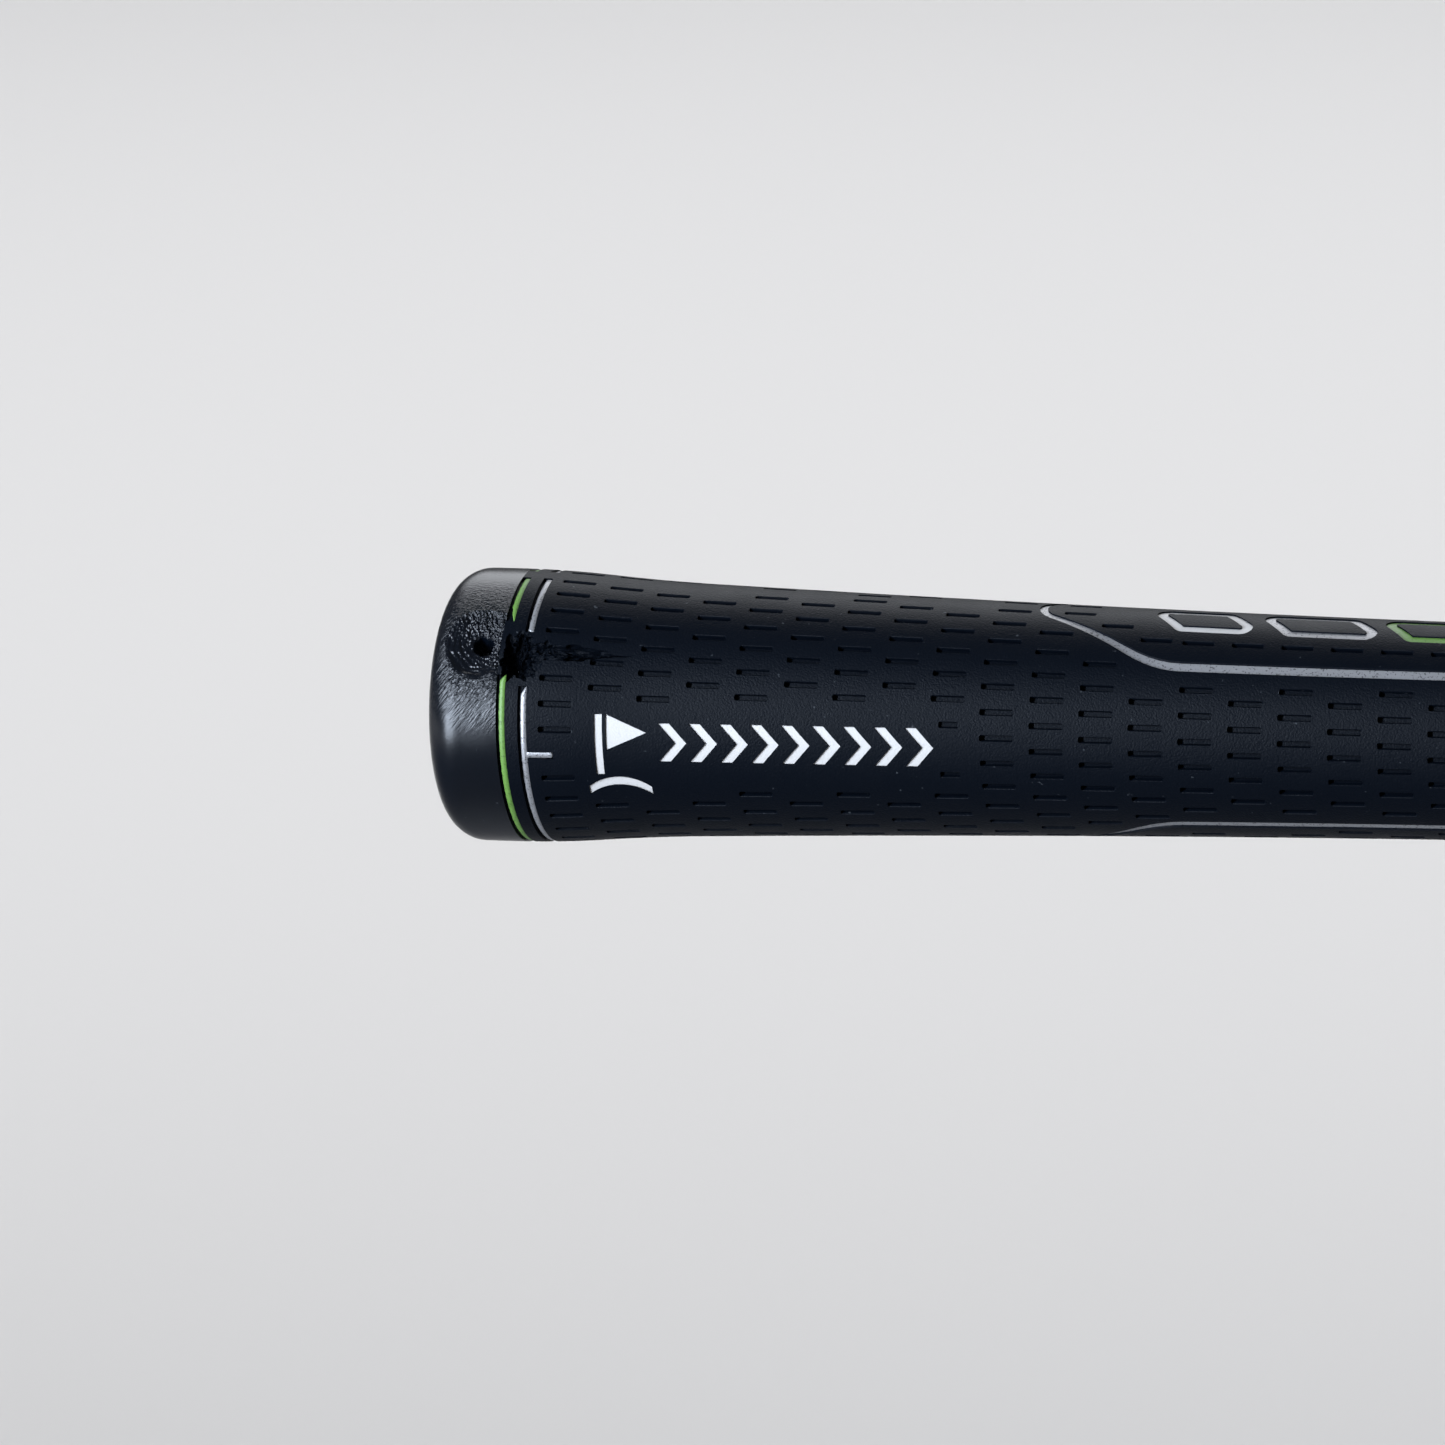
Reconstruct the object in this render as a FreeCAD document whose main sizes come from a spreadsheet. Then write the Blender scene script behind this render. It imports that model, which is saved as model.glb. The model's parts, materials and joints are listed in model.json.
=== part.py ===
import FreeCAD, Part
import math
import os
import Sketcher
from FreeCAD import Placement, Rotation, Vector

# A round rubber golf grip: a moulded sleeve, a moulded end cap, the paint fills in their recesses and
# the bonding tape inside. The grip lies along +X. Its origin is the middle of the seat where the butt
# of the club's shaft meets the cap, +X runs out of the mouth, and +Z is the top of the grip.
# Lengths are millimetres and angles are degrees. An angle around the grip runs from the top (0)
# over the front, at 90, to the bottom.

SIZES = [
    # alias, value, what it is
    ("grip_length", 266.7, "whole length, 10.5 inches"),
    ("cap_depth", 6.75, "thickness of the cap at the axis"),
    ("butt_radius", 13.66, "largest outer radius, over the seat"),
    ("mouth_radius", 9.0, "outer radius at the mouth"),
    ("shoulder_arc", 112.0, "profile arc that starts the flare, convex"),
    ("shoulder_end", 10.0, "where that arc ends"),
    ("flare_arc", 190.0, "profile arc that ends the flare, concave"),
    ("flare_end", 20.0, "where that arc ends"),
    ("hand_arc", 3460.0, "profile arc under the upper hand, concave"),
    ("hand_end", 103.0, "where that arc ends and the straight cone starts"),
    ("mouth_fillet", 0.7, "rounding of the mouth's outer edge"),
    ("dome_radius", 60.0, "spherical radius of the cap's end"),
    ("corner_radius", 3.4, "rounding between the dome and the cap's wall"),
    ("vent_radius", 1.3, "air hole through the cap"),
    ("cap_joint", 1.9, "where the cap's wall meets the sleeve"),
    ("collar_radius", 10.5, "outer radius of the cap's collar inside the sleeve"),
    ("collar_length", 3.0, "length of that collar"),
    ("bore_radius", 7.75, "rubber bore"),
    ("tape_wall", 0.13, "thickness of the bonding tape"),
    ("tape_length", 254.0, "length of the bonding tape, 10 inches"),
    ("recess_depth", 0.35, "depth of every painted recess"),
    ("paint_wall", 0.2, "thickness of the paint on its floor"),
    ("ring_width", 0.9, "width of both painted rings"),
    ("green_ring_start", 1.9, "start of the green ring"),
    ("silver_ring_start", 4.1, "start of the silver ring"),
    ("ring_gap", 4.8, "angle from a moulding line to the end of a half ring"),
    ("green_tear_start", 36.3, "angle where the tear interrupts the green ring"),
    ("green_tear_end", 61.1, "angle where the green ring goes on"),
    ("silver_tear_start", 41.3, "angle where the tear interrupts the silver ring"),
    ("silver_tear_end", 65.7, "angle where the silver ring goes on"),
    ("tick_end", 7.6, "end of the silver tick on each side"),
    ("tick_width", 0.7, "width of that tick"),
    ("tick_drop", 1.2, "how far the tick lies below the middle of the side"),
    ("line_width", 0.8, "width of the panel outlines, seen square on"),
    ("panel_start", 52.0, "where the two flanks of the panel's first nose would meet"),
    ("panel_end", 252.0, "where the flanks of its last nose would meet"),
    ("nose_radius", 2.4, "rounding of both noses"),
    ("flank_angle", 27.5, "angle between a flank and the grip's axis"),
    ("ease_radius", 12.0, "rounding between a flank and the long side"),
    ("side_start", 74.0, "where the panel's first half width is measured"),
    ("side_start_half", 7.6, "half width there"),
    ("side_end", 232.0, "where the panel's last half width is measured"),
    ("side_end_half", 5.4, "half width there"),
    ("mark_half", 2.4, "half width of the three panel marks"),
    ("mark_middle", 1.35, "how far their middle lies towards the front"),
    ("mark_sweep", 3.2, "how far a mark's front edge lies behind its back edge"),
    ("mark_band", 1.05, "width of the band that draws a mark"),
    ("mark_rounding", 0.75, "rounding of a mark's corners"),
    ("white_mark_start", 65.35, "start of the white mark"),
    ("white_mark_length", 8.5, "its length along the grip"),
    ("silver_mark_start", 76.1, "start of the silver mark"),
    ("silver_mark_length", 10.1, "its length"),
    ("green_mark_start", 88.1, "start of the green mark"),
    ("green_mark_length", 10.1, "its length"),
    ("pole_middle", 12.2, "middle of the flag's pole"),
    ("pole_width", 0.8, "width of the pole"),
    ("pole_foot", -3.2, "height of the pole's foot"),
    ("flag_top", 3.0, "height of the pole's and the pennant's top"),
    ("pennant_height", 3.6, "height of the pennant at the pole"),
    ("pennant_length", 4.1, "length of the pennant"),
    ("pennant_gap", 0.35, "black gap between the pole and the pennant"),
    ("mound_radius", 5.0, "radius of the mound under the flag"),
    ("mound_wall", 0.9, "thickness of the mound's arc"),
    ("mound_start", 10.85, "start of the mound"),
    ("mound_length", 6.3, "length of the mound"),
    ("mound_top", -3.45, "height of the mound's top"),
    ("chevron_start", 18.2, "back of the first chevron's ends"),
    ("chevron_pitch", 3.1, "spacing of the chevrons"),
    ("chevron_arm", 1.15, "width of a chevron's arm along the grip"),
    ("chevron_sweep", 1.7, "how far a chevron's point leads its ends"),
    ("chevron_half", 1.95, "half height of a chevron"),
    ("chevron_middle", 0.2, "height of the middle of the row"),
    ("dish_angle", 47.8, "angle of the scuffed dish in the cap"),
    ("dish_middle", -0.45, "its place along the grip"),
    ("dish_sphere", 6.5, "radius of the sphere that fits the dish"),
    ("dish_depth", 0.75, "depth of the dish"),
    ("puncture_radius", 0.95, "radius of the hole in the dish"),
    ("puncture_floor", 10.6, "distance from the axis to the hole's end"),
    ("tear_angle", 53.5, "angle of the torn gouge behind the cap"),
    ("tear_middle", 4.2, "its place along the grip"),
    ("tear_length", 4.3, "length of the gouge"),
    ("tear_width", 5.6, "width of the gouge around the grip"),
    ("tear_depth", 1.5, "depth of the gouge"),
    ("slit_angle", 51.3, "angle of the slit that runs on from the gouge"),
    ("slit_start", 5.6, "start of the slit"),
    ("slit_end", 14.4, "end of the slit"),
    ("slit_width", 1.7, "width of the slit at its start"),
    ("slit_lift", 13.25, "distance of the slit's start from the axis"),
    ("slit_dip", 3.6, "angle by which the slit follows the flare down"),
]
CHEVRONS = 9
REACH = 16.0  # radius that clears the whole grip, for the tools that cut it
CLOSE = 1e-6  # lengths that differ by less are the same
ROOT = -1  # the sketcher's number for its horizontal axis and its origin
UPRIGHT = -2  # and for its vertical axis
START, END, MIDDLE = 1, 2, 3  # the sketcher's numbers for an edge's points
ALONG_GRIP = Rotation(Vector(0, 0, 1), Vector(0, -1, 0), Vector(1, 0, 0), "ZXY")

doc = FreeCAD.newDocument("golf_grip")
sheet = doc.addObject("Spreadsheet::Sheet", "sizes")
for row, (alias, value, note) in enumerate(SIZES, start=1):
    sheet.set(f"A{row}", alias)
    sheet.set(f"B{row}", str(value))
    sheet.set(f"C{row}", note)
    sheet.setAlias(f"B{row}", alias)
doc.recompute()


def size(alias):
    """The sheet's value under an alias."""
    return float(sheet.get(alias))


def around(angle, x=0.0, radius=0.0):
    """The placement whose z axis leaves the grip's axis at an angle around it, at a distance."""
    turn = Rotation(Vector(1, 0, 0), angle)
    return Placement(Vector(x, 0, 0) + turn.multVec(Vector(0, 0, radius)), turn)


def bind(thing, **expressions):
    """Binds properties to expressions; a double underscore in a name stands for a dot."""
    for name, expression in expressions.items():
        thing.setExpression(name.replace("__", "."), expression)
    return thing


def primitive(kind, name, placement=None, **expressions):
    """A Part primitive with its sizes bound to the sheet."""
    made = doc.addObject(f"Part::{kind}", name)
    made.Placement = placement or Placement()
    return bind(made, **expressions)


def cut(name, base, *tools):
    """The base without the tools."""
    made = doc.addObject("Part::Cut", name)
    made.Base = base
    made.Tool = tools[0] if len(tools) == 1 else fuse(f"{name}_tools", *tools)
    return made


def common(name, first, second):
    """What two solids share."""
    made = doc.addObject("Part::Common", name)
    made.Base = first
    made.Tool = second
    return made


def fuse(name, *parts):
    """Several solids as one."""
    made = doc.addObject("Part::MultiFuse", name)
    made.Shapes = list(parts)
    return made


def sketch_on(body, role, name):
    """A new sketch on one of the body's own origin planes."""
    sketch = body.newObject("Sketcher::SketchObject", name)
    plane = next(p for p in body.Origin.OriginFeatures if p.Role == role)
    sketch.AttachmentSupport = [(plane, "")]
    sketch.MapMode = "FlatFace"
    return sketch


def bound(sketch, kind, places, name, value, expression):
    """A named dimension of a sketch, bound to an expression."""
    number = sketch.addConstraint(Sketcher.Constraint(kind, *places, value))
    sketch.renameConstraint(number, name)
    sketch.setExpression(f"Constraints.{name}", expression)


def arc_between(middle, radius, first, last):
    """A circle's arc that runs anticlockwise from one point to another."""
    circle = Part.Circle(Vector(*middle, 0), Vector(0, 0, 1), radius)
    angles = [math.atan2(y - middle[1], x - middle[0]) for x, y in (first, last)]
    return Part.ArcOfCircle(circle, angles[0], angles[1])


def outer_form(name, inset, deeper):
    """The grip's whole outer form as a solid of revolution, its surface moved inwards by an inset."""
    body = doc.addObject("PartDesign::Body", name)
    sketch = sketch_on(body, "XY_Plane", f"{name}_profile")
    depth, wall = size("cap_depth") - inset, size("butt_radius") - inset
    dome, corner = size("dome_radius") - inset, size("corner_radius") - inset
    length = size("grip_length") - size("cap_depth")
    apex = (-depth, 0.0)
    dome_middle = (dome - depth, 0.0)
    rise = wall - corner
    corner_middle = (dome_middle[0] - math.sqrt((dome - corner) ** 2 - rise**2), rise)
    slope = dome / (dome - corner)
    rim = (dome_middle[0] + (corner_middle[0] - dome_middle[0]) * slope, rise * slope)
    shoulder = size("shoulder_arc") - inset
    top = (0.0, wall)
    lean = math.asin(size("shoulder_end") / shoulder)
    crest = (size("shoulder_end"), wall - shoulder * (1 - math.cos(lean)))
    outline = [
        arc_between(dome_middle, dome, rim, apex),
        arc_between(corner_middle, corner, (corner_middle[0], wall), rim),
        Part.LineSegment(Vector(corner_middle[0], wall, 0), Vector(0, wall, 0)),
        arc_between((0.0, wall - shoulder), shoulder, crest, top),
    ]
    start = crest
    for arc, end in (("flare_arc", "flare_end"), ("hand_arc", "hand_end")):
        radius = size(arc) + inset
        middle = (start[0] + radius * math.sin(lean), start[1] + radius * math.cos(lean))
        lean = math.asin((middle[0] - size(end)) / radius)
        finish = (size(end), middle[1] - radius * math.cos(lean))
        outline.append(arc_between(middle, radius, start, finish))
        start = finish
    mouth = Vector(length, size("mouth_radius") - inset, 0)
    outline.append(Part.LineSegment(Vector(*start, 0), mouth))
    outline.append(Part.LineSegment(mouth, Vector(length, 0, 0)))
    outline.append(Part.LineSegment(Vector(length, 0, 0), Vector(*apex, 0)))
    sketch.addGeometry(outline, False)
    joints = [
        ("Tangent", 0, START, 1, END), ("Tangent", 1, START, 2, START),
        ("Tangent", 2, END, 3, END), ("Tangent", 3, START, 4, START),
        ("Tangent", 4, END, 5, START), ("Coincident", 5, END, 6, START),
        ("Coincident", 6, END, 7, START), ("Coincident", 7, END, 8, START),
        ("Coincident", 8, END, 0, END), ("PointOnObject", 0, MIDDLE, ROOT),
        ("PointOnObject", 0, END, ROOT), ("PointOnObject", 2, END, UPRIGHT),
        ("Horizontal", 2), ("Vertical", 7), ("Horizontal", 8),
    ]
    for joint in joints:
        sketch.addConstraint(Sketcher.Constraint(*joint))
    origin = (ROOT, START)
    less, more = f" - {deeper}", f" + {deeper}"
    bound(sketch, "DistanceX", (0, END, *origin), "depth", depth, "sizes.cap_depth" + less)
    bound(sketch, "DistanceY", (*origin, 2, END), "wall", wall, "sizes.butt_radius" + less)
    bound(sketch, "Radius", (0,), "dome", dome, "sizes.dome_radius" + less)
    bound(sketch, "Radius", (1,), "corner", corner, "sizes.corner_radius" + less)
    bound(sketch, "Radius", (3,), "shoulder", shoulder, "sizes.shoulder_arc" + less)
    bound(sketch, "Radius", (4,), "flare", size("flare_arc") + inset, "sizes.flare_arc" + more)
    bound(sketch, "Radius", (5,), "hand", size("hand_arc") + inset, "sizes.hand_arc" + more)
    for edge, point, alias in ((3, START, "shoulder_end"), (4, END, "flare_end"), (5, END, "hand_end")):
        bound(sketch, "DistanceX", (*origin, edge, point), alias, size(alias), f"sizes.{alias}")
    bound(sketch, "DistanceX", (*origin, 7, START), "length", length, "sizes.grip_length - sizes.cap_depth")
    bound(sketch, "DistanceY", (*origin, 7, START), "mouth", mouth.y, "sizes.mouth_radius" + less)
    revolution = body.newObject("PartDesign::Revolution", f"{name}_revolution")
    revolution.Profile = sketch
    revolution.ReferenceAxis = (sketch, ["H_Axis"])
    revolution.Angle = 360
    return body


def round_mouth(body):
    """Rounds the outer edge of the form's mouth."""
    doc.recompute()
    length = size("grip_length") - size("cap_depth")
    boxes = {n: edge.BoundBox for n, edge in enumerate(body.Shape.Edges, start=1)}
    rims = [n for n, box in boxes.items() if abs(box.XMin - length) + box.XLength < CLOSE]
    outer = max(rims, key=lambda n: boxes[n].YLength)
    turned = body.Tip
    fillet = body.newObject("PartDesign::Fillet", "mouth_rounding")
    fillet.Base = (turned, [f"Edge{outer}"])
    bind(fillet, Radius="sizes.mouth_fillet")


def prism(name, role, corners, back=False):
    """A tool that runs outwards from one of the middle planes, its corners bound to the sheet."""
    body = doc.addObject("PartDesign::Body", name)
    sketch = sketch_on(body, role, f"{name}_outline")
    count = len(corners)
    turns = [2 * math.pi * n / count for n in range(count)]
    first = [Vector(math.cos(turn), math.sin(turn), 0) for turn in turns]
    for n in range(count):
        sketch.addGeometry(Part.LineSegment(first[n], first[(n + 1) % count]), False)
    for n in range(count):
        sketch.addConstraint(Sketcher.Constraint("Coincident", n, END, (n + 1) % count, START))
    for n, place in enumerate(corners):
        for kind, now, expression in zip(("DistanceX", "DistanceY"), first[n], place):
            bound(sketch, kind, (ROOT, START, n, START), f"{kind[-1]}{n}", now, expression)
    pad = body.newObject("PartDesign::Pad", f"{name}_pad")
    pad.Profile = sketch
    pad.Length = REACH
    pad.Reversed = back
    return body


def rounded(corners):
    """A closed wire through corners of x, y and radius, each rounded by an arc of that radius."""
    points = [Vector(x, y, 0) for x, y, _ in corners]
    edges, ends = [], []
    for n, (_, _, radius) in enumerate(corners):
        here, back, on = points[n], points[n - 1], points[(n + 1) % len(points)]
        to_back, to_next = (back - here).normalize(), (on - here).normalize()
        half = to_back.getAngle(to_next) / 2
        run = radius / math.tan(half)
        bisector = (to_back + to_next).normalize()
        knee = here + bisector * (radius / math.sin(half) - radius)
        ends.append((here + to_back * run, knee, here + to_next * run))
    for n, (first, knee, last) in enumerate(ends):
        edges.append(Part.Arc(first, knee, last).toShape())
        edges.append(Part.makeLine(last, ends[(n + 1) % len(ends)][0]))
    return Part.Wire(edges)


def band(name, corners, width, down=False):
    """A tool in the form of a closed outline's band, which runs up or down from the middle plane."""
    face = Part.Face(rounded(corners))
    ring = face.makeOffset2D(width / 2).cut(face.makeOffset2D(-width / 2))
    made = doc.addObject("Part::Feature", name)
    made.Shape = ring.extrude(Vector(0, 0, -REACH if down else REACH))
    return made


def panel_corners():
    """The panel's outline: two noses on the middle line, and the corners where flanks meet sides."""
    pitch = math.tan(math.radians(size("flank_angle")))
    run = size("side_end") - size("side_start")
    fall = (size("side_start_half") - size("side_end_half")) / run
    level = size("side_start_half") + fall * size("side_start")
    near = (level + pitch * size("panel_start")) / (pitch + fall)
    far = (pitch * size("panel_end") - level) / (pitch - fall)
    nose, ease = size("nose_radius"), size("ease_radius")
    near_side, far_side = level - fall * near, level - fall * far
    return [
        (size("panel_start"), 0.0, nose), (near, -near_side, ease), (far, -far_side, ease),
        (size("panel_end"), 0.0, nose), (far, far_side, ease), (near, near_side, ease),
    ]


def mark_corners(colour):
    """The middle line of a slanted ring on the panel: its back edge leads its front edge."""
    band_half, sweep, rounding = size("mark_band") / 2, size("mark_sweep"), size("mark_rounding")
    back = size("mark_half") - band_half - size("mark_middle")
    front = -size("mark_half") + band_half - size("mark_middle")
    start = size(f"{colour}_mark_start") + band_half
    end = start + size(f"{colour}_mark_length") - 2 * band_half
    return [
        (start, back, rounding), (start + sweep, front, rounding),
        (end + sweep, front, rounding), (end, back, rounding),
    ]


def ring(name, colour, first, last):
    """The tool for a stretch of a painted ring, between two angles around the grip."""
    place = Placement(Vector(0, 0, 0), Rotation(Vector(1, 0, 0), first).multiply(ALONG_GRIP))
    made = primitive(
        "Cylinder", name, place, Height="sizes.ring_width",
        Placement__Base__x=f"sizes.{colour}_ring_start",
    )
    made.Radius = REACH
    made.Angle = last - first
    return made


def tick(name, back):
    """The tool for the silver tick that runs from the ring along the middle of a side."""
    near, far = "sizes.silver_ring_start", "sizes.tick_end"
    low = "-sizes.tick_drop - sizes.tick_width / 2"
    high = "-sizes.tick_drop + sizes.tick_width / 2"
    return prism(name, "XZ_Plane", [(near, low), (far, low), (far, high), (near, high)], back)


# The outer form, and the same form at the paint's surface and at the floor of the recesses.
form = outer_form("form", 0.0, "0")
round_mouth(form)
paint_top = outer_form("paint_top", size("recess_depth") - size("paint_wall"),
                       "(sizes.recess_depth - sizes.paint_wall)")
recess_floor = outer_form("recess_floor", size("recess_depth"), "sizes.recess_depth")
paint_layer = cut("paint_layer", paint_top, recess_floor)

# The tools that shape the painted fills: what each one shares with the paint's layer is a fill, and
# what it cuts down to the floor is that fill's recess.
gap = size("ring_gap")
tools = {}
for colour in ("green", "silver"):
    torn_from, torn_to = size(f"{colour}_tear_start"), size(f"{colour}_tear_end")
    stretches = (("upper", gap, torn_from), ("lower", torn_to, 180 - gap), ("back", 180 + gap, 360 - gap))
    for place, first, last in stretches:
        tools[f"{colour}_ring_{place}"] = ring(f"{colour}_{place}_tool", colour, first, last)
for place, back in (("lower", False), ("back", True)):
    stretch = tools[f"silver_ring_{place}"]
    tools[f"silver_ring_{place}"] = fuse(f"silver_{place}_with_tick", stretch, tick(f"{place}_tick", back))

pole_near = "sizes.pole_middle - sizes.pole_width / 2"
pole_far = "sizes.pole_middle + sizes.pole_width / 2"
tools["flag_pole"] = prism("pole_tool", "XZ_Plane", [
    (pole_near, "sizes.pole_foot"), (pole_far, "sizes.pole_foot"),
    (pole_far, "sizes.flag_top"), (pole_near, "sizes.flag_top"),
])
hoist = f"{pole_far} + sizes.pennant_gap"
tools["flag_pennant"] = prism("pennant_tool", "XZ_Plane", [
    (hoist, "sizes.flag_top - sizes.pennant_height"),
    (f"{hoist} + sizes.pennant_length", "sizes.flag_top - sizes.pennant_height / 2"),
    (hoist, "sizes.flag_top"),
])
towards_front = Rotation(Vector(1, 0, 0), 90)
discs = []
for step, name in enumerate(("mound_outer", "mound_inner")):
    disc = primitive(
        "Cylinder", name, Placement(Vector(0, 0, 0), towards_front), Radius="sizes.mound_radius",
        Placement__Base__x="sizes.mound_start + sizes.mound_length / 2",
        Placement__Base__z=f"sizes.mound_top - sizes.mound_radius - {step} * sizes.mound_wall",
    )
    disc.Height = REACH
    discs.append(disc)
clip = primitive(
    "Box", "mound_clip", Placement(Vector(0, -REACH, 0), Rotation()), Length="sizes.mound_length",
    Height="sizes.mound_radius", Placement__Base__x="sizes.mound_start",
    Placement__Base__z="sizes.mound_top - sizes.mound_radius",
)
clip.Width = REACH
tools["flag_mound"] = common("mound_tool", cut("mound_arc", *discs), clip)

for n in range(CHEVRONS):
    tail = f"sizes.chevron_start + {n} * sizes.chevron_pitch"
    point = f"{tail} + sizes.chevron_sweep"
    low = "sizes.chevron_middle - sizes.chevron_half"
    high = "sizes.chevron_middle + sizes.chevron_half"
    tools[f"chevron_{n + 1}"] = prism(f"chevron_{n + 1}_tool", "XZ_Plane", [
        (tail, low), (f"{tail} + sizes.chevron_arm", low),
        (f"{point} + sizes.chevron_arm", "sizes.chevron_middle"),
        (f"{tail} + sizes.chevron_arm", high), (tail, high), (point, "sizes.chevron_middle"),
    ])

tools["top_panel_line"] = band("top_line_tool", panel_corners(), size("line_width"))
tools["bottom_panel_line"] = band("bottom_line_tool", panel_corners(), size("line_width"), down=True)
for colour in ("white", "silver", "green"):
    tool = band(f"{colour}_mark_tool", mark_corners(colour), size("mark_band"))
    tools[f"panel_mark_{colour}"] = tool

# The damage: a scuffed dish with a hole in the cap, and a torn gouge that runs on as a slit.
dish = primitive("Sphere", "dish_tool", Radius="sizes.dish_sphere")
dish_lift = size("butt_radius") + size("dish_sphere") - size("dish_depth")
dish.Placement = around(size("dish_angle"), size("dish_middle"), dish_lift)
puncture = primitive("Cylinder", "puncture_tool", Radius="sizes.puncture_radius")
puncture.Placement = around(size("dish_angle"), size("dish_middle"), size("puncture_floor"))
gouge = primitive(
    "Ellipsoid", "gouge_tool", Radius1="sizes.tear_depth", Radius2="sizes.tear_length / 2",
    Radius3="sizes.tear_width / 2",
)
gouge.Placement = around(size("tear_angle"), size("tear_middle"), size("butt_radius"))
slit = primitive(
    "Cone", "slit_tool", Radius1="sizes.slit_width / 2", Height="sizes.slit_end - sizes.slit_start",
)
slit.Radius2 = 0
lay_down = Placement(Vector(0, 0, 0), Rotation(Vector(0, 1, 0), 90 + size("slit_dip")))
slit.Placement = around(size("slit_angle"), size("slit_start"), size("slit_lift")).multiply(lay_down)

# The cap, the sleeve and the tape.
shaft_bore = primitive("Cylinder", "shaft_bore", Placement(Vector(0, 0, 0), ALONG_GRIP),
                       Radius="sizes.bore_radius", Height="sizes.grip_length")
vent = primitive("Cylinder", "vent_tool", Placement(Vector(0, 0, 0), ALONG_GRIP),
                 Radius="sizes.vent_radius", Height="2 * sizes.cap_depth",
                 Placement__Base__x="-1.5 * sizes.cap_depth")
cap_zone = primitive("Cylinder", "cap_zone", Placement(Vector(0, 0, 0), ALONG_GRIP),
                     Height="2 * sizes.cap_depth + sizes.cap_joint",
                     Placement__Base__x="-2 * sizes.cap_depth")
cap_zone.Radius = REACH
collar = primitive("Cylinder", "collar", Placement(Vector(0, 0, 0), ALONG_GRIP),
                   Radius="sizes.collar_radius", Height="sizes.collar_length + sizes.cap_joint")
cap_blank = fuse("cap_blank", common("cap_form", form, cap_zone), collar)
recesses = cut("recesses", fuse("all_tools", *tools.values()), recess_floor)
tape_outer = primitive("Cylinder", "tape_outer", Placement(Vector(0, 0, 0), ALONG_GRIP),
                       Radius="sizes.bore_radius", Height="sizes.tape_length")
tape_inner = primitive("Cylinder", "tape_inner", Placement(Vector(0, 0, 0), ALONG_GRIP),
                       Radius="sizes.bore_radius - sizes.tape_wall", Height="sizes.tape_length")

nodes = {
    "end_cap": cut("end_cap", cap_blank, shaft_bore, vent, dish, puncture),
    "grip_sleeve": cut("grip_sleeve", form, cap_zone, collar, shaft_bore, recesses, gouge, slit),
    "bonding_tape": cut("bonding_tape", tape_outer, tape_inner),
}
for name, tool in tools.items():
    nodes[name] = common(name, paint_layer, tool)
doc.recompute()

for thing in doc.Objects:
    bad = {"Invalid", "Error"} & set(thing.State)
    if bad:
        raise RuntimeError(f"{thing.Name} did not build: {bad}")
for name, node in nodes.items():
    shape = node.Shape
    if shape.isNull() or not shape.isValid() or len(shape.Solids) != 1:
        raise RuntimeError(f"{name} is not one valid solid: {len(shape.Solids)}")
    box = shape.BoundBox
    print(f"{name}: {shape.Volume:.2f} mm3, x {box.XMin:.2f} to {box.XMax:.2f}, "
          f"y {box.YMin:.2f} to {box.YMax:.2f}, z {box.ZMin:.2f} to {box.ZMax:.2f}")

os.makedirs("parts", exist_ok=True)
for name, node in nodes.items():
    node.Label = name
    node.Shape.exportStep(f"parts/{name}.step")
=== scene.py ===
"""A worn rubber golf grip, drawn around its CAD frame. Lengths are metres, +X runs out of the mouth."""
import json
import math

import bmesh
import bpy
from mathutils import Matrix, Vector, noise


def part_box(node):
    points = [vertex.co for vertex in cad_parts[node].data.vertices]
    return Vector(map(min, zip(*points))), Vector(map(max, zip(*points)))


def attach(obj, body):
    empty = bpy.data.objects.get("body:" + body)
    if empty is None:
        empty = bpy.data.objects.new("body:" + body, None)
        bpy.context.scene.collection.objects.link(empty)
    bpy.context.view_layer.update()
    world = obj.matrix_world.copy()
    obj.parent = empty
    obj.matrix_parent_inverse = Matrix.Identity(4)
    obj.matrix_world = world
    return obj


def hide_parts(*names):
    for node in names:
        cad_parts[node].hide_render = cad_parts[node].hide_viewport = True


bl_info = {
    "name": "Golf Grip",
    "version": (1, 0, 0),
    "blender": (4, 5, 0),
    "location": "View3D > Sidebar > Grip",
    "description": "Builds the finished pieces of a worn rubber golf grip around its CAD frame",
    "category": "Object",
}

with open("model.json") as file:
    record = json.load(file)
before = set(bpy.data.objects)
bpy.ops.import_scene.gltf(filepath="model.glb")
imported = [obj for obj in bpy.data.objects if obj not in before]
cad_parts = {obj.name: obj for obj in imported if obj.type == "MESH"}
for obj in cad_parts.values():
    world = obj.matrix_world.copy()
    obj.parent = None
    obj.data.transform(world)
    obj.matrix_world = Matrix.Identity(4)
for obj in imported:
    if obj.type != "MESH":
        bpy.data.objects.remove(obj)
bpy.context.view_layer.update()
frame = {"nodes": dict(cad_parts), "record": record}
MM = 0.001
DEGREE = math.pi / 180

JOINT, MOUTH = (corner[0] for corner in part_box("grip_sleeve"))  # the cap's wall meets the sleeve at JOINT
CAP_END, COLLAR_END = (corner[0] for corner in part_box("end_cap"))
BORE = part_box("bonding_tape")[1][2]  # radius of the rubber's bore, which the tape lines


def length(name, default, description):
    """A size in metres, with a default in millimetres."""
    return bpy.props.FloatProperty(
        name=name, description=description, default=default * MM, unit="LENGTH", precision=5
    )


def angle(name, default, description):
    """An angle, with a default in degrees."""
    return bpy.props.FloatProperty(
        name=name, description=description, default=default * DEGREE, unit="ROTATION", subtype="ANGLE"
    )


def number(name, default, description):
    """A plain number."""
    return bpy.props.FloatProperty(name=name, description=description, default=default, precision=4)


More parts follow.
